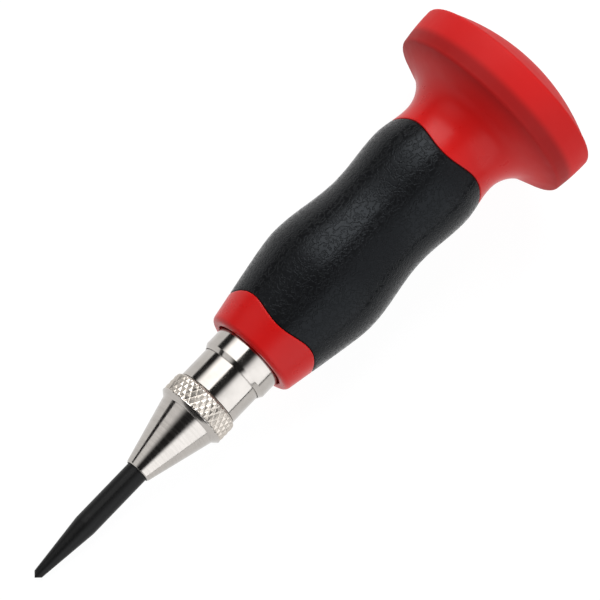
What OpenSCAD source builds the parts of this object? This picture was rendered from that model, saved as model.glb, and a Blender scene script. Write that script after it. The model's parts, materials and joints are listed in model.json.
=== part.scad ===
// Automatic centre punch with a two-colour palm handle, lying on a table.
// Every piece is turned about the tool's axis, measured in millimetres from
// the tip towards the head, and is then laid down on its rim and its tip.

/* [Punch point] */
// Radius of the shank's end, where the 90 degree point begins
point_r = 1.05; // [0.8:0.05:1.2]
// Radius of the punch's shank
shank_r = 2.5; // [2.4:0.05:2.5]
// Radius of the punch where the nose guides it
guide_r = 2.7; // [2.68:0.01:2.72]
// Where the taper ends and the shank becomes round
taper_end = 15; // [8:0.5:24]
// How far the punch is pressed in before the hammer trips
stroke = 8; // [6:0.5:8]

/* [Nose] */
// Front face of the nose
nose_front = 30.7; // [29:0.1:32]
// Radius of the nose's front face
nose_front_r = 3; // [3:0.1:3.4]
// Where the nose's cone ends
cone_end = 45.8; // [45.4:0.1:46.2]
// Radius where the nose's cone ends
cone_end_r = 6.9; // [6.7:0.1:7.2]
// Where the knurled band begins
knurl_start = 46.8; // [46.4:0.1:47.2]
// Where the knurled band ends
knurl_end = 50.7; // [50:0.1:51]
// Radius over the knurled band
knurl_r = 8; // [7.8:0.05:8.2]
// Back face of the nose
nose_back = 51.75; // [51.5:0.05:52]

/* [Barrel and cap] */
// Radius of the barrel
barrel_r = 7.25; // [7.1:0.05:7.4]
// Back end of the barrel
barrel_back = 90; // [86:1:94]
// Front edge of the adjusting cap
cap_front = 59.2; // [58:0.1:60]
// Radius of the adjusting cap
cap_r = 8; // [7.9:0.05:8.2]
// Length of the chamfer on the cap's front edge
cap_chamfer = 1; // [0.6:0.1:1.4]
// Closed back end of the adjusting cap
cap_back = 122; // [121:0.5:124]

/* [Handle] */
// Front face of the red collar
collar_front = 64.4; // [63.5:0.1:65.5]
// Slope of the collar's side towards the bulge
collar_slope = 0.185; // [0.16:0.005:0.2]
// Where the front bulge is widest
bulge_at = 86.7; // [85:0.1:88]
// Radius of the front bulge
bulge_r = 14.15; // [13.8:0.05:14.3]
// Where the waist is narrowest
waist_at = 104.2; // [103:0.1:106]
// Radius of the waist
waist_r = 12.27; // [12:0.01:12.8]
// Where the back swell is widest
swell_at = 116.6; // [115:0.1:118]
// Radius of the back swell
swell_r = 13.15; // [12.8:0.05:13.5]
// Where the neck is narrowest
neck_at = 125.3; // [124.5:0.1:126]
// Radius of the neck
neck_r = 12.05; // [11.8:0.05:12.3]
// Lean of the palm flange's underside from the axis, in degrees
flare_lean = 66; // [62:1:72]
// Front edge of the palm flange
rim_at = 134.8; // [134.5:0.1:135.5]
// Radius of the flange's front edge
rim_r = 22.2; // [21.6:0.05:22.4]
// Back edge of the palm flange
top_at = 143.3; // [142:0.1:144.5]
// Radius of the flange's back edge
top_r = 22.75; // [22.5:0.05:23]
// Overall length, tip to the crown of the palm face
length = 150; // [148.5:0.1:151]

/* [Grip] */
// Mean place of the grip's front edge
grip_front = 71.8; // [70.5:0.1:73]
// Mean place of the grip's back edge
grip_back = 122; // [121:0.1:122.5]
// Half height of the waves in both edges
grip_wave = 0.8; // [0.6:0.05:1]
// Thickness of the soft grip
grip_wall = 2; // [1.5:0.1:2.4]

/* [Mechanism] */
// Radius of the hammer
hammer_r = 4.9; // [4.8:0.05:4.95]
// Length of the hammer, without its spring stub
hammer_len = 18; // [14:0.5:18]
// Radius of the trip pin's thin end
pin_r = 1.2; // [1.1:0.05:1.25]
// Lean of the trip pin at rest, in degrees
pin_lean = 3.2; // [3:0.1:3.3]
// Wire diameter of the main spring
spring_wire = 1.3; // [1:0.1:1.4]
// Turns of the main spring
spring_turns = 10; // [7:1:11]
// Wire diameter of the trip spring
trip_wire = 0.4; // [0.3:0.05:0.5]
// Turns of the trip spring
trip_turns = 4; // [4:1:7]

/* [Hidden] */
$fn = 96;

// Colours
red = [0.78, 0.11, 0.11];
black = [0.11, 0.11, 0.12];
nickel = [0.82, 0.81, 0.79];
dark_steel = [0.13, 0.13, 0.14];
bare_steel = [0.58, 0.59, 0.61];
spring_steel = [0.45, 0.46, 0.48];
rubber = [0.06, 0.06, 0.06];

// Clearance of a running fit, and the gap between faces that only meet
fit = 0.05;
gap = 0.05;

// Punch: shoulder inside the nose, and the socket in its stem for the trip pin
shoulder_at = 37.5;
shoulder_len = 2.5;
shoulder_r = 3.5;
stem_r = 3;
pivot_at = 43;
ball_r = 1.8;
socket_r = ball_r + 0.1;

// Nose: chamber for the shoulder, thread, and the seat of its rubber ring
chamber_r = shoulder_r + 0.15;
thread_front = 45;
thread_r = 5.5;
ring_tube = 0.45;
ring_r = thread_r + ring_tube;
ring_at = nose_back - ring_tube;

// Barrel: threaded spigot, bare cylinder up to the cap, bore for the punch, and bore for the hammer
spigot_front = thread_front + 0.3;
shoulder_back = nose_back + 0.1;
bare_back = cap_front - 0.2;
punch_bore = 4;
hammer_bore = hammer_r + fit;
bush_front = 60;
bush_back = 65;

// Trip bush: a tapered bore that brings the leaning pin into line
bush_wide_r = 3;
bush_narrow_r = 2.6;
bush_taper_end = 64;

// Trip pin, measured from its pivot
pin_len = bush_back - pivot_at;
collar_back = 7;
collar_len = 1.5;
collar_r = 3.1;
pin_thick_r = 2.4;
pin_thick_end = 14;
pin_cone_end = 16.5;
pin_neck_r = 1.4;

// Hammer, spring, seat and ball
hammer_front = bush_back + gap;
hammer_back = hammer_front + hammer_len;
hammer_hole_r = pin_r + 0.15;
hammer_hole_len = stroke + 3;
stub_r = 2.95;
stub_len = 3;
seat_front = 115;
seat_len = 2.5;
seat_r = 6.5;
stem_len = 9;
spring_r = 4.05;
thrust_ball_r = 2;
cap_end = 3;
cap_inside = cap_back - cap_end;
cap_bore = barrel_r + fit;
ball_at = cap_inside - thrust_ball_r + 0.5 - gap;

// Handle: mouth round the cap, and the steps of its curved outline
mouth_r = 8.5;
mouth_len = 4;
collar_round = 1.3;
bulge_soft = 3;
outline_step = 1.5;
band_share = 0.5;
band_swell = 0.15;
rim_round = 1;
top_round = 1;
seam_r = 12;

// Lying down: the rim's rounded edge and the end of the shank touch the table
rim_centre = [rim_r - rim_round, rim_at + rim_round];
rim_start = rim_centre + rim_round * [cos(flare_lean), -sin(flare_lean)];
rest_run = rim_centre[1] - point_r;
rest_rise = rim_centre[0] - point_r;
lie = atan2(rest_rise, rest_run) + asin(rim_round / norm([rest_run, rest_rise]));
// Hollow curve from the neck that runs straight into the flange's leaning underside
flare_r = (rim_start[1] - neck_at - (rim_start[0] - neck_r) / tan(flare_lean))
    / (sin(flare_lean) - (1 - cos(flare_lean)) / tan(flare_lean));
crown_edge_r = top_r - top_round;
crown_edge_at = top_at + top_round;
crown_rise = length - crown_edge_at;
crown_r = (crown_edge_r * crown_edge_r + crown_rise * crown_rise) / (2 * crown_rise);
tip_x = -((length - crown_r) * cos(lie) + crown_r) / 2;
tip_z = point_r * (cos(lie) - sin(lie));

// Turn the tool's axis down from upright and set it on the table
module laid() {
    translate([tip_x, 0, tip_z])
        rotate([0, 90 - lie, 0])
            children();
}

// A solid turned from an outline of [radius, place] points
module turned(points) {
    rotate_extrude()
        polygon(points);
}

// A round hole or bar from one place to another
module bar(r, from, to) {
    translate([0, 0, from])
        cylinder(r = r, h = to - from);
}

// A taper from one place and radius to another
module taper(r1, from, r2, to) {
    translate([0, 0, from])
        cylinder(r1 = r1, r2 = r2, h = to - from);
}

// Points along an arc, in the outline's plane
function arc(centre, r, from, to, steps) = [
    for (i = [0 : steps])
        let (a = from + (to - from) * i / steps)
            centre + r * [cos(a), sin(a)]
];

// Radius of the handle's side: a soft-topped cone up to the bulge, then half
// waves between the bulge, the waist, the swell and the neck
function half_wave(z, z0, r0, z1, r1) = (r0 + r1) / 2 + (r0 - r1) / 2 * cos(180 * (z - z0) / (z1 - z0));
function collar_side(z) =
    bulge_r - collar_slope * (norm([bulge_at - z, bulge_soft]) - bulge_soft);
function side(z) =
    z < bulge_at ? collar_side(z)
    : z < waist_at ? half_wave(z, bulge_at, bulge_r, waist_at, waist_r)
    : z < swell_at ? half_wave(z, waist_at, waist_r, swell_at, swell_r)
    : half_wave(z, swell_at, swell_r, neck_at, neck_r);

// Points along the handle's side, moved outwards by a distance
function side_points(from, to, out = 0) =
    let (steps = ceil((to - from) / outline_step))
        [for (i = [0 : steps]) let (z = from + (to - from) * i / steps) [side(z) + out, z]];

// The whole handle's outline, from the collar's front face round to the crown
function handle_outline() = concat(
    [[0, collar_front]],
    arc([side(collar_front + collar_round) - collar_round, collar_front + collar_round],
        collar_round, -90, 0, 6),
    side_points(collar_front + collar_round + 0.5, neck_at),
    arc([neck_r + flare_r, neck_at], flare_r, 172.5, 180 - flare_lean, 9),
    arc(rim_centre, rim_round, -flare_lean, 0, 5),
    [[rim_r + (top_r - rim_r) * band_share + band_swell, rim_at + (top_at - rim_at) * band_share]],
    arc([top_r - top_round, top_at], top_round, 0, 65, 5),
    [for (i = [0 : 14])
        let (r = crown_edge_r * (1 - i / 14))
            [r, length - crown_r + sqrt(crown_r * crown_r - r * r)]]
);

// Sleeve round the handle that the grip fills, as thick outwards as asked
module grip_sleeve(out) {
    from = grip_front - grip_wave;
    to = grip_back + grip_wave;
    back = side_points(from, to, -grip_wall);
    turned(concat(
        side_points(from, to, out),
        [for (i = [len(back) - 1 : -1 : 0]) back[i]]
    ));
}

// Round notches that wave the grip's edges: four lobes at each end
module grip_notches() {
    half_chord = seam_r * sin(45);
    notch_r = (half_chord * half_chord + 4 * grip_wave * grip_wave) / (4 * grip_wave);
    reach = 2 * bulge_r;
    for (turn = [45, 135])
        translate([0, 0, grip_front + grip_wave - notch_r])
            rotate([90, 0, turn])
                cylinder(r = notch_r, h = reach, center = true);
    for (turn = [0, 90])
        translate([0, 0, grip_back - grip_wave + notch_r])
            rotate([90, 0, turn])
                cylinder(r = notch_r, h = reach, center = true);
}

module handle_core() {
    color(red) laid() difference() {
        turned(handle_outline());
        difference() {
            grip_sleeve(1);
            grip_notches();
        }
        bar(mouth_r, collar_front - 1, collar_front + mouth_len);
        bar(cap_r, collar_front + mouth_len - 1, cap_back);
    }
}

module soft_grip() {
    color(black) laid() difference() {
        grip_sleeve(0);
        grip_notches();
    }
}

// Sleeve with an inside thread: turning it with the handle loads the spring
module adjusting_cap() {
    rise = cap_r - cap_bore - 0.1;
    color(nickel) laid() difference() {
        turned([
            [0, cap_front],
            [cap_r - rise, cap_front],
            [cap_r, cap_front + cap_chamfer],
            [cap_r, cap_back],
            [0, cap_back]
        ]);
        bar(cap_bore, cap_front - 1, cap_inside);
        translate([0, 0, ball_at]) sphere(r = thrust_ball_r + gap);
    }
}

// Ball that lets the spring's seat stay still while the cap turns
module thrust_ball() {
    color(bare_steel) laid() translate([0, 0, ball_at]) sphere(r = thrust_ball_r);
}

module spring_seat() {
    color(bare_steel) laid() difference() {
        union() {
            bar(seat_r, seat_front, seat_front + seat_len);
            bar(stub_r, seat_front - stem_len, seat_front + 1);
        }
        translate([0, 0, ball_at]) sphere(r = thrust_ball_r + gap);
    }
}

module hammer() {
    color(bare_steel) laid() difference() {
        union() {
            bar(hammer_r, hammer_front, hammer_back);
            bar(stub_r, hammer_back - 1, hammer_back + stub_len);
        }
        bar(hammer_hole_r, hammer_front - 1, hammer_front + hammer_hole_len);
    }
}

module trip_bush() {
    color(bare_steel) laid() difference() {
        bar(hammer_bore, bush_front, bush_back);
        taper(bush_wide_r, bush_front, bush_narrow_r, bush_taper_end);
        bar(bush_narrow_r, bush_taper_end - 0.5, bush_back + 1);
    }
}

// Stepped pin that leans on its ball until the bush brings it into line
module trip_pin() {
    color(bare_steel) laid() translate([0, 0, pivot_at]) rotate([0, pin_lean, 0]) union() {
        sphere(r = ball_r);
        bar(pin_neck_r, 0, collar_back);
        bar(collar_r, collar_back - collar_len, collar_back);
        bar(pin_thick_r, collar_back - 0.5, pin_thick_end);
        taper(pin_thick_r, pin_thick_end, pin_r, pin_cone_end);
        bar(pin_r, pin_cone_end - 0.5, pin_len);
    }
}

// Round wire wound from one place and radius to another
module coil(wire, turns, r1, from, r2, to) {
    sides = 6;
    rings = turns * 12;
    points = [
        for (i = [0 : rings])
            let (t = i / rings, a = 360 * turns * t, r = r1 + (r2 - r1) * t)
                for (k = [0 : sides - 1])
                    let (b = 360 * k / sides, out = r + wire / 2 * cos(b))
                        [out * cos(a), out * sin(a), from + (to - from) * t + wire / 2 * sin(b)]
    ];
    wall = [
        for (i = [0 : rings - 1], k = [0 : sides - 1])
            let (p = i * sides + k, q = i * sides + (k + 1) % sides)
                each [[p, p + sides, q], [q, p + sides, q + sides]]
    ];
    last = rings * sides;
    ends = [
        for (k = [1 : sides - 2])
            each [[0, k, k + 1], [last, last + k + 1, last + k]]
    ];
    polyhedron(points, concat(wall, ends));
}

module main_spring() {
    clear = spring_wire / 2 + gap;
    color(spring_steel) laid()
        coil(spring_wire, spring_turns, spring_r, hammer_back + clear, spring_r, seat_front - clear);
}

module trip_spring() {
    clear = trip_wire / 2 + 0.25;
    front = pivot_at + collar_back + clear;
    color(spring_steel) laid()
        coil(trip_wire, trip_turns, 3.4, front, 3.65, bush_front - clear);
}

module barrel() {
    color(nickel) laid() difference() {
        union() {
            bar(thread_r - fit, spigot_front, shoulder_back + 1);
            bar(barrel_r, shoulder_back, bare_back);
            bar(barrel_r - fit, bare_back - 1, barrel_back);
        }
        bar(punch_bore, spigot_front - 1, bush_front + 1);
        bar(hammer_bore, bush_front, barrel_back + 1);
    }
}

// Rubber ring that keeps the nose from working loose
module nose_ring() {
    color(rubber) laid() translate([0, 0, ring_at]) rotate_extrude()
        translate([ring_r, 0]) circle(r = ring_tube - gap, $fn = 32);
}

module nose_cone() {
    ring_seat_r = ring_r + ring_tube + gap;
    color(nickel) laid() difference() {
        turned([
            [0, nose_front],
            [nose_front_r - 0.2, nose_front],
            [nose_front_r, nose_front + 0.2],
            [cone_end_r, cone_end],
            [knurl_r, knurl_start],
            [knurl_r, knurl_end],
            [barrel_r, nose_back],
            [0, nose_back]
        ]);
        bar(guide_r + fit, nose_front - 1, shoulder_at);
        bar(chamber_r, shoulder_at - gap, thread_front + 1);
        bar(thread_r, thread_front, nose_back + 1);
        bar(ring_seat_r, ring_at - ring_tube - gap, nose_back + 1);
    }
}

module punch_point() {
    color(dark_steel) laid() difference() {
        turned([
            [0, 0],
            [point_r, point_r],
            [shank_r, taper_end],
            [shank_r, nose_front],
            [guide_r, nose_front],
            [guide_r, shoulder_at],
            [shoulder_r, shoulder_at],
            [shoulder_r, shoulder_at + shoulder_len],
            [stem_r, shoulder_at + shoulder_len],
            [stem_r, pivot_at],
            [0, pivot_at]
        ]);
        translate([0, 0, pivot_at]) sphere(r = socket_r);
    }
}

handle_core();
soft_grip();
adjusting_cap();
thrust_ball();
spring_seat();
main_spring();
hammer();
trip_bush();
trip_pin();
trip_spring();
barrel();
nose_ring();
nose_cone();
punch_point();
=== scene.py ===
"""Automatic centre punch: the finished look of every piece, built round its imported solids."""
import json
import math

import bmesh
import bpy
import numpy as np
from bpy.props import FloatProperty, FloatVectorProperty, IntProperty, PointerProperty
from bpy.types import Operator, Panel, PropertyGroup
from mathutils import Matrix


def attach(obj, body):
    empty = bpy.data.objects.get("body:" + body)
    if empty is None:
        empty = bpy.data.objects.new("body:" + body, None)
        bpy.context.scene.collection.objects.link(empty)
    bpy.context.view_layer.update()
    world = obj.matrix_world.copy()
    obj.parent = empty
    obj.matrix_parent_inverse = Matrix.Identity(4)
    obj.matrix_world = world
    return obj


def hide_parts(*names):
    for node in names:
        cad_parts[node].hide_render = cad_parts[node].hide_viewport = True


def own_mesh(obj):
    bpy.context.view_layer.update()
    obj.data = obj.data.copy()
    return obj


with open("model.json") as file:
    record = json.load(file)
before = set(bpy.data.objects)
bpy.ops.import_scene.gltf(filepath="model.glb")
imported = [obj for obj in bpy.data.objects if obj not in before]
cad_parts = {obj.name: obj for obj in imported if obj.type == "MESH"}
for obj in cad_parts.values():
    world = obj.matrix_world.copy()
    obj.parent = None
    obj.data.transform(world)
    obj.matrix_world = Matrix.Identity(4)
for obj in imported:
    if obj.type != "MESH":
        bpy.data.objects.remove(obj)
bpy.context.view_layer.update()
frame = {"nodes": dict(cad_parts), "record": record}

bl_info = {
    "name": "Automatic centre punch",
    "version": (1, 0, 0),
    "blender": (4, 5, 0),
    "location": "View3D > Sidebar > Punch",
    "description": "Builds and finishes the pieces of a spring-loaded centre punch",
    "category": "Add Mesh",
}

MM = 0.001

# Faces that meet at more than this angle keep a sharp edge
SHARP_ANGLE = math.radians(34)

# Distances: within which points become one, of a guard point from its rounding, and too small to count
MERGE, GUARD, TINY = 1e-7, 0.04 * MM, 1e-12

# Roundings of the pieces' edges, from the crispest to the softest
HAIR, CRISP, KEEN, BROKEN = 0.02 * MM, 0.03 * MM, 0.05 * MM, 0.1 * MM
DULLED, EASED, SOFT = 0.12 * MM, 0.2 * MM, 0.3 * MM

# Finishes: where most of a noise lies, a ring mark's thickness over its length, and the depth of fine marks
NOISE_LOW, NOISE_HIGH = 0.35, 0.65
RING_ASPECT = 0.06
FINE = 0.02 * MM

# The tool's own axes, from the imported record: places run from the tip along AXIS
MOUNTS = {mount["name"]: mount for mount in frame["record"]["mounts"]}
TIP = np.array(MOUNTS["point"]["pos_m"])
AXIS = np.array(MOUNTS["palm_face"]["axis"])
AXIS = AXIS / np.linalg.norm(AXIS)
SIDE = np.array([0.0, 1.0, 0.0])
UNDER = np.cross(SIDE, AXIS)
LIE = math.atan2(AXIS[2], AXIS[0])


# Properties


def length(label, description, millimetres):
    """A length that a user can change, given in millimetres."""
    return FloatProperty(name=label, description=description, default=millimetres * MM,
                         unit="LENGTH", precision=5)


def angle(label, description, degrees):
    """An angle that a user can change, given in degrees."""
    return FloatProperty(name=label, description=description, default=math.radians(degrees), subtype="ANGLE")


def count(label, description, value):
    """A whole number that a user can change."""
    return IntProperty(name=label, description=description, default=value)


def share(label, description, value):
    """A plain number that a user can change."""
    return FloatProperty(name=label, description=description, default=value, precision=4)


def colour(label, description, value):
    """A linear colour that a user can change."""
    return FloatVectorProperty(name=label, description=description, default=value,
                               subtype="COLOR", min=0, max=1)


class PointSizes(PropertyGroup):
    """Sizes of the replaceable point"""

    tip_radius: length("Tip radius", "Radius where the 90 degree tip begins", 1.05)
    taper_end: length("Taper end", "Where the taper becomes the round shank", 15)
    taper_round: length("Taper round", "Rounding between the taper and the shank", 6)
    shank_radius: length("Shank radius", "Radius of the bare shank", 2.5)
    guide_radius: length("Guide radius", "Radius of the part that runs in the nose", 2.7)
    shoulder: length("Shoulder", "Front face of the shoulder that stops in the nose", 37.5)
    shoulder_length: length("Shoulder length", "Length of the shoulder", 2.5)
    shoulder_radius: length("Shoulder radius", "Radius of the shoulder", 3.5)
    stem_radius: length("Stem radius", "Radius of the stem behind the shoulder", 3)
    pivot: length("Pivot", "Back of the stem, where the trip pin's ball sits", 43)
    socket_radius: length("Socket radius", "Radius of the socket for the trip pin", 1.9)


class NoseSizes(PropertyGroup):
    """Sizes of the screw-off nose and its knurl"""

    front: length("Front", "Front face of the nose", 30.7)
    front_radius: length("Front radius", "Radius of the front face", 3)
    cone_end: length("Cone end", "Where the cone ends", 45.8)
    cone_radius: length("Cone radius", "Radius where the cone ends", 6.9)
    knurl_start: length("Knurl start", "Front of the knurled band", 46.8)
    knurl_end: length("Knurl end", "Back of the knurled band", 51.2)
    knurl_radius: length("Knurl radius", "Radius over the knurl's crests", 8)
    back: length("Back", "Back face of the nose", 51.75)
    teeth: count("Teeth", "Grooves of one hand round the knurl", 36)
    pitch: length("Knurl pitch", "Distance along the axis between grooves of one hand", 2.4)
    depth: length("Knurl depth", "Depth of the knurl's grooves", 0.26)
    blunt: share("Blunt", "How far the diamonds are raised before their tops are cut off", 1.03)
    run_out: length("Run-out", "Length over which the knurl's grooves run out", 0.45)
    bore: length("Bore", "Radius of the bore that guides the point", 2.75)
    chamber: length("Chamber", "Radius of the chamber for the point's shoulder", 3.65)
    chamber_front: length("Chamber front", "Front end of the chamber", 37.45)
    thread: length("Thread", "Radius of the thread on the barrel", 5.5)
    thread_front: length("Thread front", "Front end of the thread", 45)
    seal_radius: length("Seal radius", "Outer radius of the seat of the rubber ring", 6.45)
    seal_front: length("Seal front", "Front of the seat of the rubber ring", 50.8)


class BarrelSizes(PropertyGroup):
    """Sizes of the barrel and of the adjusting cap that turns on it"""

    spigot_front: length("Spigot front", "Front end of the spigot that the nose screws on", 45.3)
    front: length("Front", "Front face of the bare cylinder", 51.85)
    radius: length("Radius", "Radius of the bare cylinder", 7.25)
    bare_back: length("Bare back", "Where the bare cylinder goes into the cap", 59)
    back: length("Back", "Back end of the barrel", 90)
    bush_front: length("Bush front", "Where the hammer's bore begins", 60)
    punch_bore: length("Punch bore", "Radius of the bore for the trip pin", 4)
    hammer_bore: length("Hammer bore", "Radius of the bore for the hammer", 4.95)
    clearance: length("Clearance", "Radial clearance inside the cap", 0.05)
    cap_front: length("Cap front", "Front edge of the cap", 59.2)
    cap_radius: length("Cap radius", "Radius of the cap", 8)
    cap_chamfer: length("Cap chamfer", "Length of the chamfer on the cap's front edge", 1)
    cap_bore: length("Cap bore", "Radius of the cap's bore", 7.3)
    cap_lip: length("Cap lip", "Width of the flat lip at the cap's mouth", 0.1)
    cap_inside: length("Cap inside", "Closed end of the cap's bore", 119)
    cap_back: length("Cap back", "Back of the cap", 122)
    ball_radius: length("Ball radius", "Radius of the hollow for the thrust ball", 2.05)
    ball_at: length("Ball at", "Centre of the thrust ball", 117.45)


class HandleSizes(PropertyGroup):
    """Sizes of the red handle"""

    front: length("Front", "Front face of the collar", 64.4)
    mouth_radius: length("Mouth radius", "Radius of the mouth round the cap", 8.5)
    mouth_length: length("Mouth length", "Depth of the mouth", 4)
    bore: length("Bore", "Radius of the bore that holds the cap", 8)
    collar_round: length("Collar round", "Rounding of the collar's front edge", 1.3)
    collar_slope: share("Collar slope", "Slope of the collar's side towards the bulge", 0.185)
    bulge_at: length("Bulge at", "Where the front bulge is widest", 86.7)
    bulge_radius: length("Bulge radius", "Radius of the front bulge", 14.15)
    bulge_soft: length("Bulge softness", "How gently the collar's slope runs into the bulge", 3)
    waist_at: length("Waist at", "Where the waist is narrowest", 104.2)
    waist_radius: length("Waist radius", "Radius of the waist", 12.27)
    swell_at: length("Swell at", "Where the back swell is widest", 116.6)
    swell_radius: length("Swell radius", "Radius of the back swell", 13.15)
    neck_at: length("Neck at", "Where the neck is narrowest", 125.3)
    neck_radius: length("Neck radius", "Radius of the neck", 12.05)
    flare_lean: angle("Flare lean", "Lean of the flange's underside from the axis", 66)
    rim_at: length("Rim at", "Front edge of the palm flange", 134.8)
    rim_radius: length("Rim radius", "Radius of the flange's front edge", 22.2)
    rim_round: length("Rim round", "Rounding of the flange's front edge", 1)
    band_swell: length("Band swell", "How far the flange's band bulges", 0.15)
    # Where the painted shade lies: a deeper red from the flange's rim part way up its band, standing in for
    # shade
    painted_shade_share: share("Band share", "How far up the band its deeper red goes", 0.405)
    painted_shade_fade: length("Band fade", "How softly the deeper red begins and ends", 2)
    top_at: length("Top at", "Back edge of the palm flange", 143.3)
    top_radius: length("Top radius", "Radius of the flange's back edge", 22.75)
    top_round: length("Top round", "Rounding of the flange's back edge", 1)
    overall: length("Overall", "Length of the tool, tip to crown", 150)


class GripSizes(PropertyGroup):
    """Sizes of the soft grip moulded round the handle"""

    front: length("Front", "Mean place of the front edge", 71.8)
    back: length("Back", "Mean place of the back edge", 122)
    wave: length("Wave", "Half height of the waves in both edges", 0.8)
    lobes: count("Lobes", "Waves round each edge", 4)
    wall: length("Wall", "Thickness of the grip", 2)
    edge: length("Edge", "Rounding of the grip's edges", 0.4)
    core_edge: length("Core edge", "Rounding of the red edges beside the grip", 0.22)
    seam: length("Seam", "Gap between the grip and the red edges", 0.04)


class SpringSizes(PropertyGroup):
    """Sizes of the two springs inside"""

    main_wire: length("Main wire", "Wire diameter of the main spring", 1.3)
    main_radius: length("Main radius", "Mean radius of the main spring", 4.05)
    main_front: length("Main front", "Front end of the main spring, at the hammer", 83.1)
    main_back: length("Main back", "Back end of the main spring, at its seat", 114.95)
    main_turns: count("Main turns", "Turns of the main spring", 10)
    trip_wire: length("Trip wire", "Wire diameter of the trip spring", 0.4)
    trip_front_radius: length("Trip front radius", "Mean radius at the trip pin's collar", 3.4)
    trip_back_radius: length("Trip back radius", "Mean radius at the bush", 3.65)
    trip_front: length("Trip front", "Front end of the trip spring", 50.25)
    trip_back: length("Trip back", "Back end of the trip spring", 59.75)
    trip_turns: count("Trip turns", "Turns of the trip spring", 4)


class Finishes(PropertyGroup):
    """Colours of the finishes"""

    red: colour("Red", "Moulded red plastic", (0.488, 0.0084, 0.0079))
    red_light: colour("Light red", "Paler flow marks in the red plastic", (0.512, 0.0097, 0.0092))
    # Painted shade: this deeper red stands in for the shade on the flange's lower band and underside
    red_painted_shade: colour("Deep red", "Deeper red on the rim of the palm flange", (0.284, 0.0050, 0.0048))
    grip: colour("Grip", "Soft black rubber", (0.0056, 0.0058, 0.0063))
    grip_island: colour("Grip islands", "Smooth islands of the grain", (0.0070, 0.0073, 0.0080))
    nickel: colour("Nickel", "Bright nickel plate", (0.475, 0.446, 0.418))
    nickel_dull: colour("Dull nickel", "Hazy patches and rings in the plate", (0.432, 0.405, 0.378))
    nickel_knurl: colour("Knurl nickel", "Warmer plate on the knurl", (0.548, 0.502, 0.450))
    oxide: colour("Black oxide", "Blackened steel of the point", (0.0040, 0.0040, 0.0041))
    oxide_worn: colour("Worn oxide", "Rubbed specks on the point", (0.0090, 0.0090, 0.0092))
    steel: colour("Steel", "Ground steel of the inner pieces", (0.42, 0.42, 0.43))
    steel_oiled: colour("Oiled steel", "Darker oil film on the inner pieces", (0.28, 0.28, 0.29))
    wire: colour("Spring wire", "Oil-tempered spring wire", (0.20, 0.20, 0.21))
    wire_dark: colour("Dark spring wire", "Darker patches on the wire", (0.12, 0.12, 0.13))
    rubber: colour("Seal rubber", "Rubber of the nose ring", (0.010, 0.010, 0.010))
    rubber_pale: colour("Pale rubber", "Dusty patches on the rubber", (0.020, 0.020, 0.021))
    floor: colour("Floor", "Pale table", (0.09, 0.09, 0.09))


class Studio(PropertyGroup):
    """Camera, lights and table"""

    lens: share("Lens", "Focal length in millimetres", 420)
    distance: length("Distance", "Camera to the tool's axis", 1451)
    aim: length("Aim", "Place on the axis at the middle of the picture", 80.3)
    aim_side: length("Aim to the side", "How far the aim lies beside the axis", 0.35)
    tilt: angle("Tilt", "Camera's lean towards the tip, from square to the axis", 11.2)
    roll: angle("Roll", "Slope of the tool's axis in the picture", 46.05)
    light_distance: length("Light distance", "Lights to the tool's axis", 700)
    light_back: length("Light back", "Head end of the left and right lights, from the picture's middle", 1200)
    left_from: angle("Left from", "Upper edge of the left light, from the camera's side", 14.6)
    left_to: angle("Left to", "Lower edge of the left light", 76.5)
    left_fade: angle("Left fade", "Width of the fade at the left light's lower edge", 24)
    left_front: length("Left front", "Tip end of the left light, from the middle of the picture", -240)
    left_start: length("Left start", "Where the left light begins to glow", -100)
    left_even: length("Left even", "Where the left light reaches its full glow", 340)
    left_glow: share("Left glow", "Radiance of the left light over the head", 5.4)
    tip_from: angle("Tip from", "Upper edge of the light beside the tip, on the left", 16)
    tip_to: angle("Tip to", "Lower edge of the light beside the tip", 74.5)
    tip_fade: angle("Tip fade", "Width of the fade at the tip light's upper edge", 32)
    tip_front: length("Tip front", "Far end of the tip light, from the middle of the picture", -900)
    tip_back: length("Tip back", "Head end of the tip light", 0)
    tip_glow: share("Tip glow", "Radiance of the light beside the tip", 1.12)
    right_from: angle("Right from", "Upper edge of the right light", 9.2)
    right_to: angle("Right to", "Lower edge of the right light", 89)
    right_fade: angle("Right fade", "Width of the fade at the right light's upper edge", 22)
    right_turn: angle("Right turn", "How far the right light's tip end swings outwards", 10)
    right_front: length("Right front", "Tip end of the right light, from the middle of the picture", -900)
    right_even: length("Right even", "Where the right light begins to weaken towards the head", 90)
    right_weak: length("Right weak", "Where the right light is at its weakest", 300)
    right_glow: share("Right glow", "Radiance of the right light over the tip", 2.0)
    right_head_glow: share("Right head glow", "Radiance of the right light over the head", 1.05)
    right_tint: colour("Right tint", "Colour of the right light", (0.965, 0.98, 1.0))
    floor_glow: share("Floor glow", "Light that the pale table gives by itself", 0.94)
    floor_ahead: length("Floor ahead", "Middle of the table's glow, from the aim towards the head", 40)
    floor_side: length("Floor side", "Middle of the table's glow, from the aim to the right", 50)
    floor_even: length("Floor even", "How far from its middle the table's glow is even", 210)
    floor_dark: length("Floor dark", "How far from its middle the table's glow ends", 240)
    room_glow: share("Room glow", "Radiance of the dark room", 0.02)
    floor_size: length("Floor size", "Width of the table", 12000)


class PunchSettings(PropertyGroup):
    """All sizes, colours and lights of the centre punch"""

    point: PointerProperty(type=PointSizes)
    nose: PointerProperty(type=NoseSizes)
    barrel: PointerProperty(type=BarrelSizes)
    handle: PointerProperty(type=HandleSizes)
    grip: PointerProperty(type=GripSizes)
    springs: PointerProperty(type=SpringSizes)
    finishes: PointerProperty(type=Finishes)
    studio: PointerProperty(type=Studio)


# Surfaces


def circle(columns):
    """Angles once round the axis, from the table side."""
    return np.arange(columns) * 2 * np.pi / columns


def outwards(turn):
    """Directions straight out from the axis at those angles: cos(turn) * under + sin(turn) * side."""
    return np.cos(turn)[:, None] * UNDER + np.sin(turn)[:, None] * SIDE


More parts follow.
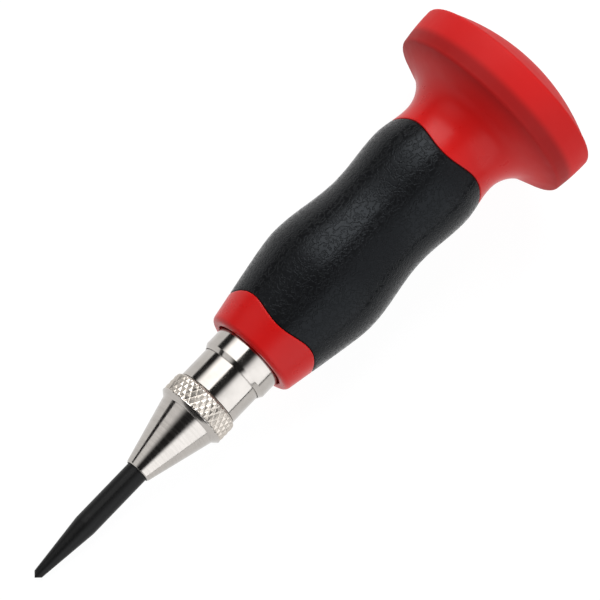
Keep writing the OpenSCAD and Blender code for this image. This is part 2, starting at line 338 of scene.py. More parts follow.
def unit(vectors):
    """Vectors brought to length 1; one of no length stays so."""
    return vectors / np.maximum(np.linalg.norm(vectors, axis=-1, keepdims=True), TINY)


def arc(centre, radius, start, stop, steps):
    """Points at centre + radius * (cos, sin) from one angle to another, in degrees."""
    turn = np.radians(np.linspace(start, stop, steps + 1))
    return np.array(centre) + radius * np.stack([np.cos(turn), np.sin(turn)], axis=-1)


def rounded(corners, steps=5, closed=False):
    """Outline of (radius, place) points through corners (radius, place, rounding).

    Each corner gives way to the arc that touches both of its lines, with a guard point just before and
    after it, so that long plain faces keep their own normals.
    """
    corners = np.array(corners, dtype=float)
    at, size = corners[:, :2], corners[:, 2]
    before = np.roll(at, 1, axis=0) - at
    after = np.roll(at, -1, axis=0) - at
    if not closed:
        before[0] = -after[0]
        after[-1] = -before[-1]
    before, after = unit(before), unit(after)
    half = np.arccos(np.clip((before * after).sum(axis=1), -1, 1)) / 2
    reach = size / np.tan(half)
    centre = at + unit(before + after) * (size / np.sin(half))[:, None]
    first = at + before * reach[:, None] - centre
    last = at + after * reach[:, None] - centre
    way = unit(first)
    across = unit(last - way * (way * last).sum(axis=1, keepdims=True)) * size[:, None]
    turn = (np.pi - 2 * half)[:, None] * np.linspace(0, 1, steps + 1)
    round_part = (centre[:, None] + np.cos(turn)[..., None] * first[:, None]
                  + np.sin(turn)[..., None] * across[:, None])
    guard_in = at + before * (reach + GUARD)[:, None]
    guard_out = at + after * (reach + GUARD)[:, None]
    points = np.concatenate([guard_in[:, None], round_part, guard_out[:, None]], axis=1)
    if not closed:
        points[0, :-1] = at[0]
        points[-1, 1:] = at[-1]
    return points.reshape(-1, 2)


def add_object(name, data):
    """New object in the scene."""
    made = bpy.data.objects.new(name, data)
    bpy.context.scene.collection.objects.link(made)
    return made


def grid_object(name, points, wrap=False):
    """Object from a grid of points whose columns close round; with wrap its rows close too.

    The map runs once round along the columns, and along the rows by the share of rows passed.
    Points that fall together, as at a pole, become one.
    """
    rows, columns = points.shape[:2]
    number = np.arange(rows * columns).reshape(rows, columns)
    lower = number if wrap else number[:-1]
    upper = np.roll(number, -1, axis=0) if wrap else number[1:]
    faces = np.stack([lower, np.roll(lower, -1, axis=1), np.roll(upper, -1, axis=1), upper], axis=-1)
    mesh = bpy.data.meshes.new(name)
    mesh.from_pydata(points.reshape(-1, 3).tolist(), [], faces.reshape(-1, 4).tolist())
    u = np.arange(columns)[None, :, None] / columns + np.array([0, 1, 1, 0]) / columns
    v = np.arange(len(lower))[:, None, None] / len(lower) + np.array([0, 0, 1, 1]) / len(lower)
    pairs = np.stack(np.broadcast_arrays(u, v), axis=-1).ravel().astype(np.float32)
    mesh.uv_layers.new(name="wrap").data.foreach_set("uv", pairs)
    shape = bmesh.new()
    shape.from_mesh(mesh)
    bmesh.ops.remove_doubles(shape, verts=shape.verts, dist=MERGE)
    bmesh.ops.recalc_face_normals(shape, faces=shape.faces)
    shape.to_mesh(mesh)
    shape.free()
    mesh.shade_smooth()
    mesh.set_sharp_from_angle(angle=SHARP_ANGLE)
    return add_object(name, mesh)


def turned(name, radius, along, columns, wrap=False):
    """Surface turned about the tool's axis, from radii and places in metres.

    Row i, column j lies at tip + along * axis + radius * (cos(a) * under + sin(a) * side), where a goes once
    round over the columns. Radius and along have one value a row, or one a row and column.
    """
    radius = np.broadcast_to(radius, (len(radius), columns))
    along = np.broadcast_to(along, (len(along), columns))
    points = TIP + along[..., None] * AXIS + radius[..., None] * outwards(circle(columns))
    return grid_object(name, points, wrap)


def turned_outline(name, outline, columns, wrap=False):
    """Surface turned from an outline of (radius, place) points."""
    return turned(name, outline[:, :1], outline[:, 1:], columns, wrap)


def coil(name, wire, radius, place, start, stop, sides=12, rings=40):
    """Round wire wound about the tool's axis, its two ends drawn to a point.

    The centre line is at radius(t) and place(t) after t turns. Each ring of the wire is spanned by the
    outward direction and by the cross product of the line's direction and outward.
    """
    t = np.linspace(start, stop, (stop - start) * rings + 1)
    outward = outwards(2 * np.pi * t)
    line = TIP + place(t)[:, None] * AXIS + radius(t)[:, None] * outward
    across = unit(np.cross(np.gradient(line, axis=0), outward))
    thickness = np.full(len(t), wire / 2)
    thickness[[0, -1]] = 0
    section = circle(sides)[None, :, None]
    ring = np.cos(section) * outward[:, None] + np.sin(section) * across[:, None]
    return grid_object(name, line[:, None] + thickness[:, None, None] * ring)


def set_piece(piece, material, body, slot, *nodes):
    """Give a finished piece its material and the body it rides on, and hide the solids it stands for; its
    slot is not used.
    """
    piece.data.materials.append(material)
    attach(piece, body)
    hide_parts(*nodes)


# Finishes


def finish(name, **values):
    """New material; values are the principled shader's constants, with underscores for spaces."""
    material = bpy.data.materials.new(name)
    material.use_nodes = True
    tree = material.node_tree
    shader = tree.nodes["Principled BSDF"]
    for key, value in values.items():
        shader.inputs[key.replace("_", " ")].default_value = value
    return material, tree, shader


def node(tree, kind, inputs=None, **settings):
    """New shader node; an input is a number, a colour, or the socket that feeds it."""
    made = tree.nodes.new("ShaderNode" + kind)
    for key, value in settings.items():
        setattr(made, key, value)
    for key, value in (inputs or {}).items():
        if isinstance(value, bpy.types.NodeSocket):
            tree.links.new(value, made.inputs[key])
        else:
            made.inputs[key].default_value = value
    return made


def tool_place(tree):
    """Object coordinates turned so that X runs along the tool's axis."""
    place = node(tree, "TexCoord").outputs["Object"]
    return node(tree, "Mapping", {"Vector": place, "Rotation": (0, LIE, 0)}).outputs["Vector"]


def maths(tree, operation, *values):
    """Result of one mathematical operation on numbers or sockets."""
    return node(tree, "Math", dict(enumerate(values)), operation=operation).outputs[0]


def along_axis(tree):
    """Distance along the tool's axis from the tip, as one number."""
    place = node(tree, "SeparateXYZ", {"Vector": tool_place(tree)}).outputs["X"]
    return maths(tree, "SUBTRACT", place, float(TIP @ AXIS))


def noise(tree, vector, scale, detail=2.0, roughness=0.5):
    """Soft noise from 0 to 1."""
    inputs = {"Vector": vector, "Scale": scale, "Detail": detail, "Roughness": roughness}
    return node(tree, "TexNoise", inputs).outputs["Fac"]


def stretched(tree, vector, scale):
    """Coordinates multiplied by a number each way."""
    return node(tree, "Mapping", {"Vector": vector, "Scale": scale}).outputs["Vector"]


def ring_noise(tree, scale):
    """Noise that changes fast along the tool's axis and slowly round it, as turning marks do."""
    place = stretched(tree, tool_place(tree), (1, RING_ASPECT, RING_ASPECT))
    return noise(tree, place, scale, detail=3.0, roughness=0.7)


def streaks(tree, around, lengthwise):
    """Noise drawn out along a piece's own map: many changes round it, few along it."""
    place = node(tree, "TexCoord").outputs["UV"]
    return noise(tree, stretched(tree, place, (around, lengthwise, 1)), 1.0, detail=3.0)


def between(tree, value, low, high, start=NOISE_LOW, stop=NOISE_HIGH, **settings):
    """Carry a value's range start..stop over to low..high."""
    inputs = {"Value": value, "From Min": start, "From Max": stop, "To Min": low, "To Max": high}
    return node(tree, "MapRange", inputs, **settings).outputs["Result"]


def ramp(tree, value, start, stop, low, high):
    """Number that goes smoothly from low to high as a value goes from start to stop."""
    return between(tree, value, low, high, start, stop, interpolation_type="SMOOTHSTEP")


def window(tree, value, rise, fall):
    """Number that rises smoothly from 0 to 1 between two values, and falls back between two others."""
    return maths(tree, "MULTIPLY", ramp(tree, value, *rise, 0.0, 1.0), ramp(tree, value, *fall, 1.0, 0.0))


def blend_colours(tree, value, first, second, start=NOISE_LOW, stop=NOISE_HIGH):
    """Colour that goes from first to second as a value goes from start to stop."""
    made = node(tree, "ValToRGB", {"Fac": value})
    for element, place, tint in zip(made.color_ramp.elements, (start, stop), (first, second)):
        element.position = place
        element.color = (*tint, 1)
    return made.outputs["Color"]


def tinted(tree, amount, under, tint):
    """A colour that gives way to a plain tint as an amount goes from 0 to 1."""
    inputs = {"Factor": amount, "A": under, "B": (*tint, 1)}
    return node(tree, "Mix", inputs, data_type="RGBA").outputs["Result"]


def bump(tree, height, strength, distance, below=None):
    """Bumps of that height, on top of other bumps if given."""
    inputs = {"Height": height, "Strength": strength, "Distance": distance}
    if below:
        inputs["Normal"] = below
    return node(tree, "Bump", inputs).outputs["Normal"]


def feed(tree, shader, **sockets):
    """Link sockets to the shader's inputs, with underscores for spaces."""
    for key, socket in sockets.items():
        tree.links.new(socket, shader.inputs[key.replace("_", " ")])


def red_plastic(colours, h):
    """Moulded plastic: faint flow marks, a very fine mould texture, and painted shade on the palm flange.

    The painted shade is a deeper red that stands in for the shade on the flange. It comes in round the
    flange's rim and ends part of the way up its band. From half way up the flare the moulding grows duller.
    """
    material, tree, shader = finish("red_plastic", Specular_IOR_Level=0.15)
    place, from_tip = tool_place(tree), along_axis(tree)
    flow = blend_colours(tree, noise(tree, place, 60.0, 3.0), colours.red, colours.red_light)
    # Painted shade: a deeper red round the flange's rim and part way up its band, where shade falls
    painted_shade_end = h.rim_at + h.painted_shade_share * (h.top_at - h.rim_at)
    painted_shade = window(tree, from_tip, (h.rim_at - h.painted_shade_fade, h.rim_at + 0.75 * h.painted_shade_fade),
                  (painted_shade_end - h.painted_shade_fade / 2, painted_shade_end + h.painted_shade_fade / 2))
    gloss = between(tree, noise(tree, place, 350.0, 4.0), 0.27, 0.33)
    dull = ramp(tree, from_tip, (h.neck_at + h.rim_at) / 2, h.rim_at, 0.0, 0.30)
    orange_peel = bump(tree, noise(tree, place, 300.0), 0.03, 0.1 * MM)
    feed(tree, shader, Base_Color=tinted(tree, painted_shade, flow, colours.red_painted_shade),
         Roughness=maths(tree, "ADD", gloss, dull),
         Normal=bump(tree, noise(tree, place, 2600.0), 0.05, FINE, orange_peel))
    return material


def grip_rubber(colours):
    """Soft black rubber with a leather grain: smooth islands parted by narrow worm-like grooves.

    A groove lies where a noise is near its middle value, and the islands where it is further off.
    """
    material, tree, shader = finish("grip_rubber", Specular_IOR_Level=0.11,
                                    Specular_Tint=(0.84, 0.92, 1.0, 1.0))
    place = tool_place(tree)
    groove = (0.0, 0.07)
    from_groove = maths(tree, "ABSOLUTE", maths(tree, "SUBTRACT", noise(tree, place, 800.0, 2.0, 0.6), 0.5))
    grain = bump(tree, between(tree, from_groove, 0.0, 1.0, *groove), 0.7, 0.05 * MM)
    feed(tree, shader,
         Base_Color=blend_colours(tree, from_groove, colours.grip, colours.grip_island, *groove),
         Roughness=between(tree, from_groove, 0.45, 0.17, *groove),
         Normal=bump(tree, noise(tree, place, 2400.0), 0.2, FINE, grain))
    return material


def nickel_plate(colours, name, marks, knurl=None):
    """Bright plate over turned metal, hazy in patches, with ring marks of the given strength.

    On the nose the haze lies in rings, and the knurl is warmer and duller.
    """
    material, tree, shader = finish(name, Metallic=1.0)
    place = tool_place(tree)
    haze = ring_noise(tree, 1700.0) if knurl else noise(tree, place, 300.0, 4.0)
    plate = blend_colours(tree, haze, colours.nickel, colours.nickel_dull)
    gloss = between(tree, haze, 0.10, 0.19) if knurl else between(tree, haze, 0.11, 0.16)
    if knurl:
        band = ramp(tree, along_axis(tree), knurl.knurl_start, knurl.knurl_start + knurl.run_out, 0.0, 1.0)
        plate = tinted(tree, band, plate, colours.nickel_knurl)
        gloss = maths(tree, "ADD", gloss, between(tree, band, 0.0, 0.21, 0.0, 1.0))
    rings = bump(tree, ring_noise(tree, 2600.0), marks, FINE)
    feed(tree, shader, Base_Color=plate, Roughness=gloss,
         Normal=bump(tree, noise(tree, place, 1500.0), 0.03, FINE, rings))
    return material


def black_oxide(colours):
    """Blackened tool steel, with drawn streaks and rubbed specks."""
    material, tree, shader = finish("black_oxide", Specular_IOR_Level=0.16)
    specks = noise(tree, tool_place(tree), 2400.0, 3.0, 0.7)
    feed(tree, shader, Base_Color=blend_colours(tree, specks, colours.oxide, colours.oxide_worn, 0.55, 0.75),
         Roughness=between(tree, streaks(tree, 60.0, 3.0), 0.34, 0.5),
         Normal=bump(tree, specks, 0.12, 0.04 * MM))
    return material


def ground_steel(colours):
    """Ground inner pieces: ring marks under a patchy film of oil."""
    material, tree, shader = finish("ground_steel", Metallic=1.0)
    film = noise(tree, tool_place(tree), 260.0, 3.0)
    feed(tree, shader, Base_Color=blend_colours(tree, film, colours.steel, colours.steel_oiled),
         Roughness=between(tree, film, 0.32, 0.2),
         Normal=bump(tree, ring_noise(tree, 5200.0), 0.25, FINE))
    return material


def spring_wire(colours):
    """Oil-tempered wire: dark patches, and fine lines drawn along it."""
    material, tree, shader = finish("spring_wire", Metallic=1.0)
    patches = noise(tree, tool_place(tree), 700.0, 3.0)
    feed(tree, shader, Base_Color=blend_colours(tree, patches, colours.wire, colours.wire_dark),
         Roughness=between(tree, patches, 0.3, 0.45),
         Normal=bump(tree, streaks(tree, 24.0, 2.0), 0.15, FINE))
    return material


def seal_rubber(colours):
    """Matt rubber with dusty patches."""
    material, tree, shader = finish("seal_rubber")
    dust = noise(tree, tool_place(tree), 900.0, 4.0)
    feed(tree, shader, Base_Color=blend_colours(tree, dust, colours.rubber, colours.rubber_pale),
         Roughness=between(tree, dust, 0.6, 0.8),
         Normal=bump(tree, dust, 0.2, 0.05 * MM))
    return material


# Pieces


def half_wave(z, z0, r0, z1, r1):
    """Half a cosine wave from radius r0 at z0 to radius r1 at z1."""
    return (r0 + r1) / 2 + (r0 - r1) / 2 * np.cos(np.pi * (z - z0) / (z1 - z0))


def handle_side(z, h):
    """Radius of the handle's side: a soft-topped cone, then half waves to waist, swell and neck."""
    cone = h.bulge_radius - h.collar_slope * (np.hypot(h.bulge_at - z, h.bulge_soft) - h.bulge_soft)
    front = half_wave(z, h.bulge_at, h.bulge_radius, h.waist_at, h.waist_radius)
    middle = half_wave(z, h.waist_at, h.waist_radius, h.swell_at, h.swell_radius)
    back = half_wave(z, h.swell_at, h.swell_radius, h.neck_at, h.neck_radius)
    return np.select([z < h.bulge_at, z < h.waist_at, z < h.swell_at], [cone, front, middle], back)


def grip_edges(grip, columns):
    """Places of the grip's waved front and back edges round the axis: mean - wave * cos(lobes * angle)."""
    wave = grip.wave * np.cos(grip.lobes * circle(columns))
    return grip.front - wave, grip.back - wave


def spread(start, stop, rows, skip=0):
    """Rows of values going evenly from start to stop, without the first few."""
    share_of_way = np.linspace(0, 1, rows)[skip:, None]
    return start + (stop - start) * share_of_way


def quarter_round(edge, size, rows, leaving):
    """Depths and places of a rounded edge that turns inwards at place edge.

    Leaving rounds run from the surface down into the gap, the others from the gap up to the surface.
    """
    turn = np.linspace(0, np.pi / 2, rows)[:, None]
    depth = size * (1 - np.cos(turn))
    place = edge - size + size * np.sin(turn) if leaving else edge + size - size * np.sin(turn)
    order = slice(None) if leaving else slice(None, None, -1)
    return depth[order], place[order]


def every_column(values, columns):
    """One value or point a row, repeated over the columns."""
    return np.repeat(values[:, None], columns, axis=1)


def build_point(settings):
    """The black point: a 90 degree tip, a taper, the shank, its guide and shoulder, and the pin's socket."""
    p, nose = settings.point, settings.nose
    shoulder_back = p.shoulder + p.shoulder_length
    outline = rounded([
        (0, 0, 0),
        (p.tip_radius, p.tip_radius, DULLED),
        (p.shank_radius, p.taper_end, p.taper_round),
        (p.shank_radius, nose.front, HAIR),
        (p.guide_radius, nose.front, CRISP),
        (p.guide_radius, p.shoulder, KEEN),
        (p.shoulder_radius, p.shoulder, EASED),
        (p.shoulder_radius, shoulder_back, EASED),
        (p.stem_radius, shoulder_back, BROKEN),
        (p.stem_radius, p.pivot, 0.15 * MM),
        (p.socket_radius, p.pivot, 0),
    ])
    socket = arc((0, p.pivot), p.socket_radius, 0, -90, 10)
    piece = turned_outline("punch_point", np.concatenate([outline, socket]), columns=128)
    set_piece(piece, black_oxide(settings.finishes), "punch", "dark_steel", "punch_point")


def ridge(x):
    """Three-cornered wave that is 0 at whole numbers and 1 half way between them."""
    return 1 - np.abs(2 * (x - np.floor(x)) - 1)


def ease(x, start, stop):
    """Smooth step from 0 at start to 1 at stop."""
    t = np.clip((x - start) / (stop - start), 0, 1)
    return t * t * (3 - 2 * t)


def build_nose(settings):
    """The nose: a plain cone, a diamond knurl between two chamfers, and the bores for point, thread and ring.

    From chamfer to chamfer the outline's few rows give way to many. There the radius is the plain outline
    less depth * (1 - height), where the height is the lesser of two waves that climb the band in opposite
    hands, raised and cut off so that the diamonds are a little blunt. The grooves run out at both chamfers.
    """
    n, barrel = settings.nose, settings.barrel
    front_chamfer = 0.2 * MM
    columns_a_tooth, rows_a_pitch = 16, 24
    columns = n.teeth * columns_a_tooth
    outer = rounded([
        (n.bore, n.front, 0.01 * MM),
        (n.front_radius - front_chamfer, n.front, CRISP),
        (n.front_radius, n.front + front_chamfer, BROKEN),
        (n.cone_radius, n.cone_end, 0.25 * MM),
        (n.knurl_radius, n.knurl_start, EASED),
        (n.knurl_radius, n.knurl_end, SOFT),
        (barrel.radius, n.back, DULLED),
        (n.seal_radius, n.back, KEEN),
        (n.seal_radius, n.seal_front, KEEN),
        (n.thread, n.seal_front, KEEN),
        (n.thread, n.thread_front, KEEN),
        (n.chamber, n.thread_front, KEEN),
        (n.chamber, n.chamber_front, KEEN),
        (n.bore, n.chamber_front, KEEN),
    ], closed=True)
    radius, place = outer[:, 0], outer[:, 1]
    behind_cone, above_barrel = 0.3 * MM, 0.02 * MM
    coarse = np.flatnonzero((place > n.cone_end + behind_cone) & (radius > barrel.radius + above_barrel))
    first, last = coarse[[0, -1]]
    band_place = np.arange(place[first], place[last], n.pitch / rows_a_pitch)
    band_radius = np.interp(band_place, place[first:last + 1], radius[first:last + 1])
    turn = n.teeth * circle(columns) / (2 * np.pi)
    climb = band_place[:, None] / n.pitch
    height = np.minimum(n.blunt * np.minimum(ridge(turn + climb), ridge(turn - climb)), 1)
    cut = (ease(band_place, n.knurl_start, n.knurl_start + n.run_out)
           * ease(-band_place, -n.knurl_end - n.run_out, -n.knurl_end))
    knurl = band_radius[:, None] - n.depth * (1 - height) * cut[:, None]
    place = np.concatenate([place[:first], band_place, place[last + 1:]])
    before, after = every_column(radius[:first], columns), every_column(radius[last + 1:], columns)
    radius = np.concatenate([before, knurl, after])
    piece = turned("nose_cone", radius, place[:, None], columns, wrap=True)
    set_piece(piece, nickel_plate(settings.finishes, "turned_nickel", 0.5, n), "nose", "nickel", "nose_cone")


def build_barrel(settings):
    """The barrel with its spigot and bores, and the cap: a sleeve with a chamfered mouth and closed back."""
    b, nose = settings.barrel, settings.nose
    barrel = rounded([
        (nose.thread - b.clearance, b.spigot_front, EASED),
        (nose.thread - b.clearance, b.front, CRISP),
        (b.radius, b.front, BROKEN),
        (b.radius, b.bare_back, HAIR),
        (b.radius - b.clearance, b.bare_back + b.clearance, HAIR),
        (b.radius - b.clearance, b.back, SOFT),
        (b.hammer_bore, b.back, EASED),
        (b.hammer_bore, b.bush_front, KEEN),
        (b.punch_bore, b.bush_front, BROKEN),
        (b.punch_bore, b.spigot_front, EASED),
    ], closed=True)
    plate = nickel_plate(settings.finishes, "bright_nickel", 0.12)
    piece = turned_outline("barrel", barrel, columns=192, wrap=True)
    set_piece(piece, plate, "barrel", "nickel", "barrel")
    hollow = math.degrees(math.asin((b.cap_inside - b.ball_at) / b.ball_radius))
    cap = np.concatenate([
        arc((0, b.ball_at), b.ball_radius, 90, hollow, 6),
        rounded([
            (b.ball_radius * math.cos(math.radians(hollow)), b.cap_inside, 0),
            (b.cap_bore, b.cap_inside, SOFT),
            (b.cap_bore, b.cap_front, CRISP),
            (b.cap_bore + b.cap_lip, b.cap_front, CRISP),
            (b.cap_radius, b.cap_front + b.cap_chamfer, DULLED),
            (b.cap_radius, b.cap_back, SOFT),
            (0, b.cap_back, 0),
        ]),
    ])
    piece = turned_outline("adjusting_cap", cap, columns=192)
    set_piece(piece, plate, "handle", "nickel", "adjusting_cap")


def build_handle(settings):
    """The red handle: collar, neck, flange and crown, with the recess for the grip and the bore for the cap.

    Rows follow the outline from the closed end of the bore round to the crown. Beside the grip their places
    follow its waved edges, so each of those rows has its own place at every angle. Behind the neck a hollow
    curve runs straight into the flange's leaning underside: its radius is the one at which the two meet.
    """
    h, g, b = settings.handle, settings.grip, settings.barrel
    columns = 256
    front_edge, back_edge = grip_edges(g, columns)
    collar_top = h.front + h.collar_round + 0.5 * MM
    bore = rounded([
        (0, b.cap_back, 0),
        (h.bore, b.cap_back, EASED),
        (h.bore, h.front + h.mouth_length, BROKEN),
        (h.mouth_radius, h.front + h.mouth_length, BROKEN),
        (h.mouth_radius, h.front, 0.25 * MM),
        (handle_side(np.array(h.front), h), h.front, h.collar_round),
        (handle_side(np.array(collar_top), h), collar_top, 0),
    ], steps=8)
    collar = spread(collar_top, front_edge - g.core_edge, rows=14, skip=1)
    leave_depth, leave_place = quarter_round(front_edge, g.core_edge, rows=5, leaving=True)
    floor = spread(front_edge, back_edge, rows=28)
    enter_depth, enter_place = quarter_round(back_edge, g.core_edge, rows=5, leaving=False)
    neck = spread(back_edge + g.core_edge, h.neck_at, rows=12, skip=1)
    recess = g.wall + g.seam
    sides = [
        (handle_side(collar, h), collar),
        (handle_side(leave_place, h) - leave_depth, leave_place),
        (handle_side(floor, h) - recess, floor),
        (handle_side(enter_place, h) - enter_depth, enter_place),
        (handle_side(neck, h), neck),
    ]
    rim_centre = (h.rim_radius - h.rim_round, h.rim_at + h.rim_round)
    lean = math.degrees(h.flare_lean)
    rim = arc(rim_centre, h.rim_round, -lean, 0, 8)
    rise, reach = rim[0, 1] - h.neck_at, rim[0, 0] - h.neck_radius
    slope = 1 / math.tan(h.flare_lean)
    flare_radius = (rise - reach * slope) / (math.sin(h.flare_lean) - (1 - math.cos(h.flare_lean)) * slope)
    flare = arc((h.neck_radius + flare_radius, h.neck_at), flare_radius, 180, 180 - lean, 24)
    top_centre = (h.top_radius - h.top_round, h.top_at)
    crown_rise = h.overall - h.top_at - h.top_round
    crown_edge = h.top_radius - h.top_round
    crown_radius = (crown_edge ** 2 + crown_rise ** 2) / (2 * crown_rise)
    crown_at = h.overall - crown_radius
    crown_start = math.degrees(math.asin((h.top_at + h.top_round - crown_at) / crown_radius))
    band = np.linspace(0, 1, 9)[1:-1]
    band_points = np.stack([
        h.rim_radius + (h.top_radius - h.rim_radius) * band + 4 * h.band_swell * band * (1 - band),
        rim_centre[1] + (h.top_at - rim_centre[1]) * band,
    ], axis=-1)
    head = np.concatenate([
        flare[1:],
        spread(flare[-1], rim[0], rows=10, skip=1)[:-1],
        rim,
        band_points,
        arc(top_centre, h.top_round, 0, crown_start, 9),
        arc((0, crown_at), crown_radius, crown_start, 90, 30)[1:],
    ])
    sides = [np.stack(side, axis=-1) for side in sides]
    rows = [every_column(bore, columns), *sides, every_column(head, columns)]
    radius, place = np.moveaxis(np.concatenate(rows), -1, 0)
    piece = turned("handle_core", radius, place, columns)
    set_piece(piece, red_plastic(settings.finishes, h), "handle", "red_plastic", "handle_core")


def build_grip(settings):
    """The soft grip: a closed sleeve between the two waved edges, flush with the handle, edges rounded."""
    h, g = settings.handle, settings.grip
    columns = 256
    front_edge, back_edge = grip_edges(g, columns)
    front_edge, back_edge = front_edge + g.seam, back_edge - g.seam
    enter_depth, enter_place = quarter_round(front_edge, g.edge, rows=7, leaving=False)
    outer = spread(front_edge + g.edge, back_edge - g.edge, rows=80)[1:-1]
    leave_depth, leave_place = quarter_round(back_edge, g.edge, rows=7, leaving=True)
    inner = spread(back_edge, front_edge, rows=30)
    radius = np.concatenate([
        handle_side(enter_place, h) - enter_depth,
        handle_side(outer, h),
        handle_side(leave_place, h) - leave_depth,
        handle_side(inner, h) - g.wall,
    ])
    place = np.concatenate([enter_place, outer, leave_place, inner])
    piece = turned("soft_grip", radius, place, columns, wrap=True)
    set_piece(piece, grip_rubber(settings.finishes), "handle", "black_grip", "soft_grip")


def closed_ends(front, back, wire, turns):
    """Place along a spring after t turns: the end turns lie shut, and the pitch is even between them."""
    shut_turns, shut_pitch = 0.8, wire * 1.02
    first, last, shut = front + wire / 2, back - wire / 2, shut_pitch * shut_turns
    knots = np.array([0, shut_turns, turns - shut_turns, turns])
    return lambda t: np.interp(t, knots, np.array([first, first + shut, last - shut, last]))


def build_springs(settings):
    """The main spring behind the hammer, and the light spring round the trip pin.

    The main spring is one coil cut in the middle. Its front half stands on the barrel; its back half stands
    on the seat.
    """
    s = settings.springs
    wire = spring_wire(settings.finishes)
    place = closed_ends(s.main_front, s.main_back, s.main_wire, s.main_turns)
    half = s.main_turns // 2
    middle = float(place(np.array(half)))
    halves = (("main_spring_front", 0, half, "barrel", s.main_front, middle, "punch_press"),
              ("main_spring_back", half, s.main_turns, "seat", middle, s.main_back, "barrel_advance"))
    for name, start, stop, body, front, back, joint in halves:
        piece = coil(name, s.main_wire, lambda t: np.full(t.shape, s.main_radius), place, start, stop)
        set_piece(piece, wire, body, "spring_steel", "main_spring")
        shorten(piece)
    taper = s.trip_back_radius - s.trip_front_radius
    trip = coil("trip_spring", s.trip_wire, lambda t: s.trip_front_radius + taper * t / s.trip_turns,
                closed_ends(s.trip_front, s.trip_back, s.trip_wire, s.trip_turns), 0, s.trip_turns)
    set_piece(trip, wire, "barrel", "spring_steel", "trip_spring")
    shorten(trip)


def shorten(piece):
    """Give a spring its own copy of its mesh."""
    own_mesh(piece)


def dress_inner_pieces(settings):
    """Finishes for the inner pieces whose solids are right as they are."""
    steel = ground_steel(settings.finishes)
    rubber = seal_rubber(settings.finishes)
    for name in ("hammer", "trip_bush", "trip_pin", "spring_seat", "thrust_ball"):
        frame["nodes"][name].material_slots[0].material = steel
    frame["nodes"]["nose_ring"].material_slots[0].material = rubber


# Stage


def placed(right, up, back, at):
    """Matrix with those three axes as its columns, at a point."""
    turn = np.eye(4)
    turn[:3, 0], turn[:3, 1], turn[:3, 2], turn[:3, 3] = right, up, back, at
    return Matrix(turn.tolist())


def add_light(name, studio, hand, edges, fade, span, change, glows, turn=0.0, tint=(1, 1, 1)):
    """Long flat light beside the tool, between two angles from the camera's side, turned in its own plane.

    Across itself it fades in between the two fade angles. Along itself it goes from one glow to the other
    between the two places of change. The light's own map runs from 0 to 1 each way.
    """
    middle, half = sum(edges) / 2, (edges[1] - edges[0]) / 2
    away = hand * math.sin(middle) * SIDE - math.cos(middle) * UNDER
    lamp = bpy.data.lights.new(name, "AREA")
    lamp.shape = "RECTANGLE"
    lamp.size, lamp.size_y = span[1] - span[0], 2 * studio.light_distance * math.tan(half)
    lamp.energy = math.pi * lamp.size * lamp.size_y
    lamp.color = tint
    lamp.use_nodes = True
    tree = lamp.node_tree
    over = node(tree, "NewGeometry").outputs["Parametric"]
    over = node(tree, "SeparateXYZ", {"Vector": over}).outputs
    across = [0.5 + hand * math.tan(edge - middle) / math.tan(half) / 2 for edge in fade]
    along = [(place - span[0]) / lamp.size for place in change]
    shade = maths(tree, "MULTIPLY", ramp(tree, over["Y"], *across, 0.0, 1.0),
                  ramp(tree, over["X"], *along, *glows))
    feed(tree, tree.nodes["Emission"], Strength=shade)
    at = TIP + (studio.aim + sum(span) / 2) * AXIS + studio.light_distance * away
    outward = hand * np.cross(away, AXIS)
    length_way = math.cos(turn) * AXIS - math.sin(turn) * outward
    add_object(name, lamp).matrix_world = placed(length_way, np.cross(away, length_way), away, at)


def build_table(settings):
    """Pale table that glows evenly round the tool and darkens some way off."""
    s = settings.studio
    half = s.floor_size / 2
    mesh = bpy.data.meshes.new("table")
    corners = [(-half, -half, 0), (half, -half, 0), (half, half, 0), (-half, half, 0)]
    mesh.from_pydata(corners, [], [(0, 1, 2, 3)])
    material, tree, shader = finish("pale_table", Roughness=0.9, Specular_IOR_Level=0.0,
                                    Emission_Color=(1, 1, 1, 1))
    place = node(tree, "TexCoord").outputs["Object"]
    middle = TIP + (s.aim + s.floor_ahead) * AXIS - s.floor_side * SIDE
    apart = {0: place, 1: (*middle[:2], 0.0)}
    away = node(tree, "VectorMath", apart, operation="DISTANCE").outputs["Value"]
    pale = settings.finishes.floor
    dusty = [0.98 * part for part in pale]
    feed(tree, shader, Base_Color=blend_colours(tree, noise(tree, place, 40.0), pale, dusty),
         Emission_Strength=ramp(tree, away, s.floor_even, s.floor_dark, s.floor_glow, 0.0))
    mesh.materials.append(material)
    floor = add_object("table", mesh)


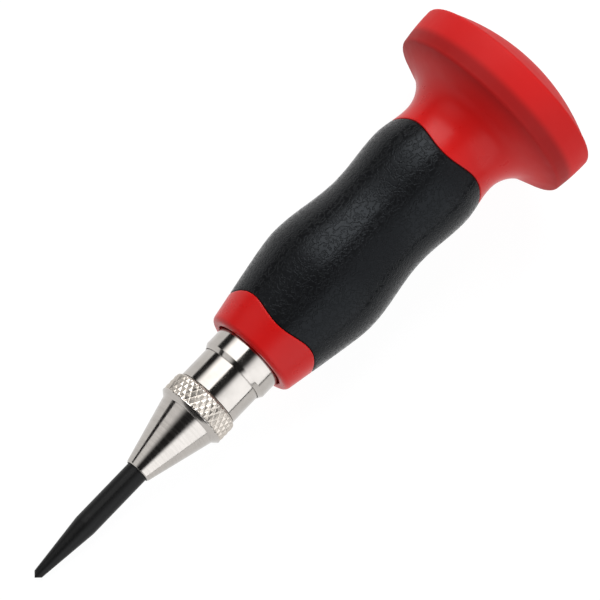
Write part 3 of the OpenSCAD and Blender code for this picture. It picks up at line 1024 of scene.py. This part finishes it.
def build_stage(settings):
    """The table, three long soft lights in a dark room, and the camera."""
    s, scene = settings.studio, bpy.context.scene
    build_table(settings)
    add_light("left_light", s, 1, (s.left_from, s.left_to), (s.left_to, s.left_to - s.left_fade),
              (s.left_front, s.light_back), (s.left_start, s.left_even), (0.0, s.left_glow))
    add_light("tip_light", s, 1, (s.tip_from, s.tip_to), (s.tip_from, s.tip_from + s.tip_fade),
              (s.tip_front, s.tip_back), (s.left_front, s.tip_back), (s.tip_glow, 0.0))
    add_light("right_light", s, -1, (s.right_from, s.right_to), (s.right_from, s.right_from + s.right_fade),
              (s.right_front, s.light_back), (s.right_even, s.right_weak), (s.right_glow, s.right_head_glow),
              turn=s.right_turn, tint=s.right_tint)
    scene.world = bpy.data.worlds.new("dark_room")
    scene.world.use_nodes = True
    room = scene.world.node_tree.nodes["Background"]
    room.inputs["Color"].default_value = (1, 1, 1, 1)
    room.inputs["Strength"].default_value = s.room_glow
    scene.view_settings.view_transform = "Standard"
    lens = bpy.data.cameras.new("camera")
    lens.lens = s.lens
    lens.clip_end = 20
    lean = LIE + s.tilt
    ahead = np.array([math.cos(lean), 0, math.sin(lean)])
    back = np.cross(ahead, SIDE)
    right = math.cos(s.roll) * ahead - math.sin(s.roll) * SIDE
    up = math.sin(s.roll) * ahead + math.cos(s.roll) * SIDE
    at = TIP + s.aim * AXIS + s.aim_side * SIDE + s.distance * back
    scene.camera = add_object("camera", lens)
    scene.camera.matrix_world = placed(right, up, back, at)


# Operators


class PUNCH_OT_point(Operator):
    """Make the black point"""

    bl_idname = "punch.point"
    bl_label = "Point"

    def execute(self, context):
        build_point(context.scene.punch)
        return {"FINISHED"}


class PUNCH_OT_nose(Operator):
    """Make the knurled nose"""

    bl_idname = "punch.nose"
    bl_label = "Knurled nose"

    def execute(self, context):
        build_nose(context.scene.punch)
        return {"FINISHED"}


class PUNCH_OT_barrel(Operator):
    """Make the barrel and the adjusting cap"""

    bl_idname = "punch.barrel"
    bl_label = "Barrel and cap"

    def execute(self, context):
        build_barrel(context.scene.punch)
        return {"FINISHED"}


class PUNCH_OT_handle(Operator):
    """Make the red handle"""

    bl_idname = "punch.handle"
    bl_label = "Red handle"

    def execute(self, context):
        build_handle(context.scene.punch)
        return {"FINISHED"}


class PUNCH_OT_grip(Operator):
    """Make the soft grip"""

    bl_idname = "punch.grip"
    bl_label = "Soft grip"

    def execute(self, context):
        build_grip(context.scene.punch)
        return {"FINISHED"}


class PUNCH_OT_springs(Operator):
    """Make the two springs"""

    bl_idname = "punch.springs"
    bl_label = "Springs"

    def execute(self, context):
        build_springs(context.scene.punch)
        return {"FINISHED"}


class PUNCH_OT_inner(Operator):
    """Finish the inner pieces"""

    bl_idname = "punch.inner"
    bl_label = "Inner pieces"

    def execute(self, context):
        dress_inner_pieces(context.scene.punch)
        return {"FINISHED"}


class PUNCH_OT_stage(Operator):
    """Set up the table, the lights and the camera"""

    bl_idname = "punch.stage"
    bl_label = "Stage"

    def execute(self, context):
        build_stage(context.scene.punch)
        return {"FINISHED"}


OPERATORS = (PUNCH_OT_stage, PUNCH_OT_point, PUNCH_OT_nose, PUNCH_OT_barrel, PUNCH_OT_handle, PUNCH_OT_grip,
             PUNCH_OT_springs, PUNCH_OT_inner)


class PUNCH_PT_panel(Panel):
    """Lists the pieces of the centre punch"""

    bl_label = "Centre punch"
    bl_idname = "PUNCH_PT_panel"
    bl_space_type = "VIEW_3D"
    bl_region_type = "UI"
    bl_category = "Punch"

    def draw(self, context):
        for operator in OPERATORS:
            self.layout.operator(operator.bl_idname)


GROUPS = (PointSizes, NoseSizes, BarrelSizes, HandleSizes, GripSizes, SpringSizes, Finishes, Studio,
          PunchSettings)


def register():
    """Register the property groups, operators and panel, and hang the settings on the scene."""
    for entry in (*GROUPS, *OPERATORS, PUNCH_PT_panel):
        bpy.utils.register_class(entry)
    bpy.types.Scene.punch = PointerProperty(type=PunchSettings)


def unregister():
    """Undo register."""
    del bpy.types.Scene.punch
    for entry in reversed((*GROUPS, *OPERATORS, PUNCH_PT_panel)):
        bpy.utils.unregister_class(entry)


def main():
    """Build every piece in order."""
    register()
    for operator in OPERATORS:
        group, name = operator.bl_idname.split(".")
        getattr(getattr(bpy.ops, group), name)()


if __name__ == "__main__":
    main()
